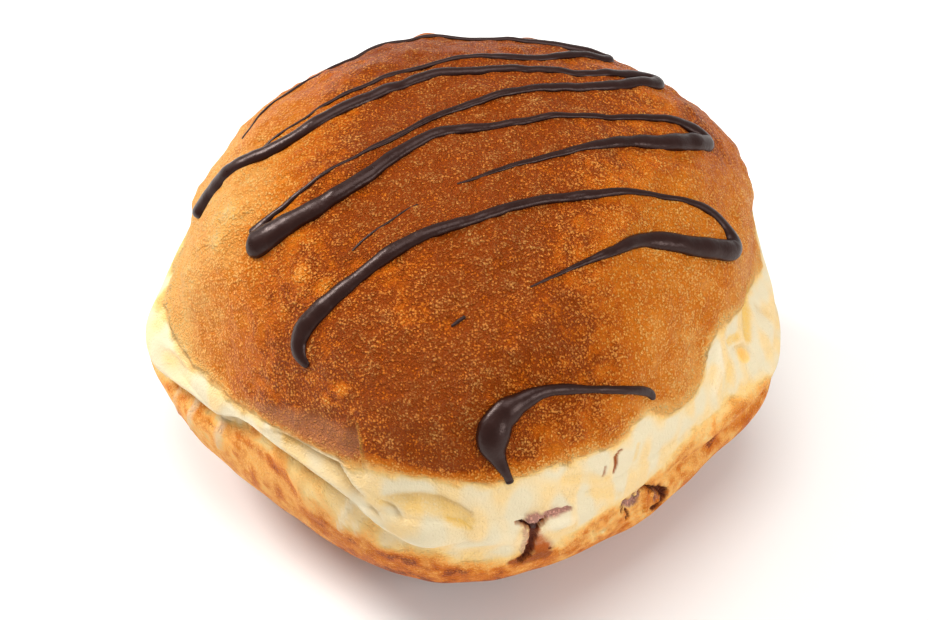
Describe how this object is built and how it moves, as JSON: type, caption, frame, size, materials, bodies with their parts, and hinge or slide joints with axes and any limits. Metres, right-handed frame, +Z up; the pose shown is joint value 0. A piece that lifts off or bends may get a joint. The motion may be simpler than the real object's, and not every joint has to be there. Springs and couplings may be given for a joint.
{
  "type": "chocolate filled doughnut",
  "caption": "Round filled doughnut with a browned dome and base, a pale folded belt, chocolate drizzle and side tears that show its chocolate filling.",
  "frame": {"origin": "middle of the outline's box, on the flat spot the doughnut rests on", "axes": "+Z up through the dome, -Y towards the front where the tears are, +X to the right seen from the front"},
  "size_m": [0.0858, 0.0837, 0.0558],
  "materials": {
    "crust": "fried dough: browned, finely blistered crust with a slight gloss, and a soft matt cream belt",
    "chocolate": "satin dark chocolate, as drizzle on the crust and as the filling at the tears"
  },
  "bodies": {
    "root": {"doughnut": "crust", "filling": "chocolate"}
  },
  "joints": []
}
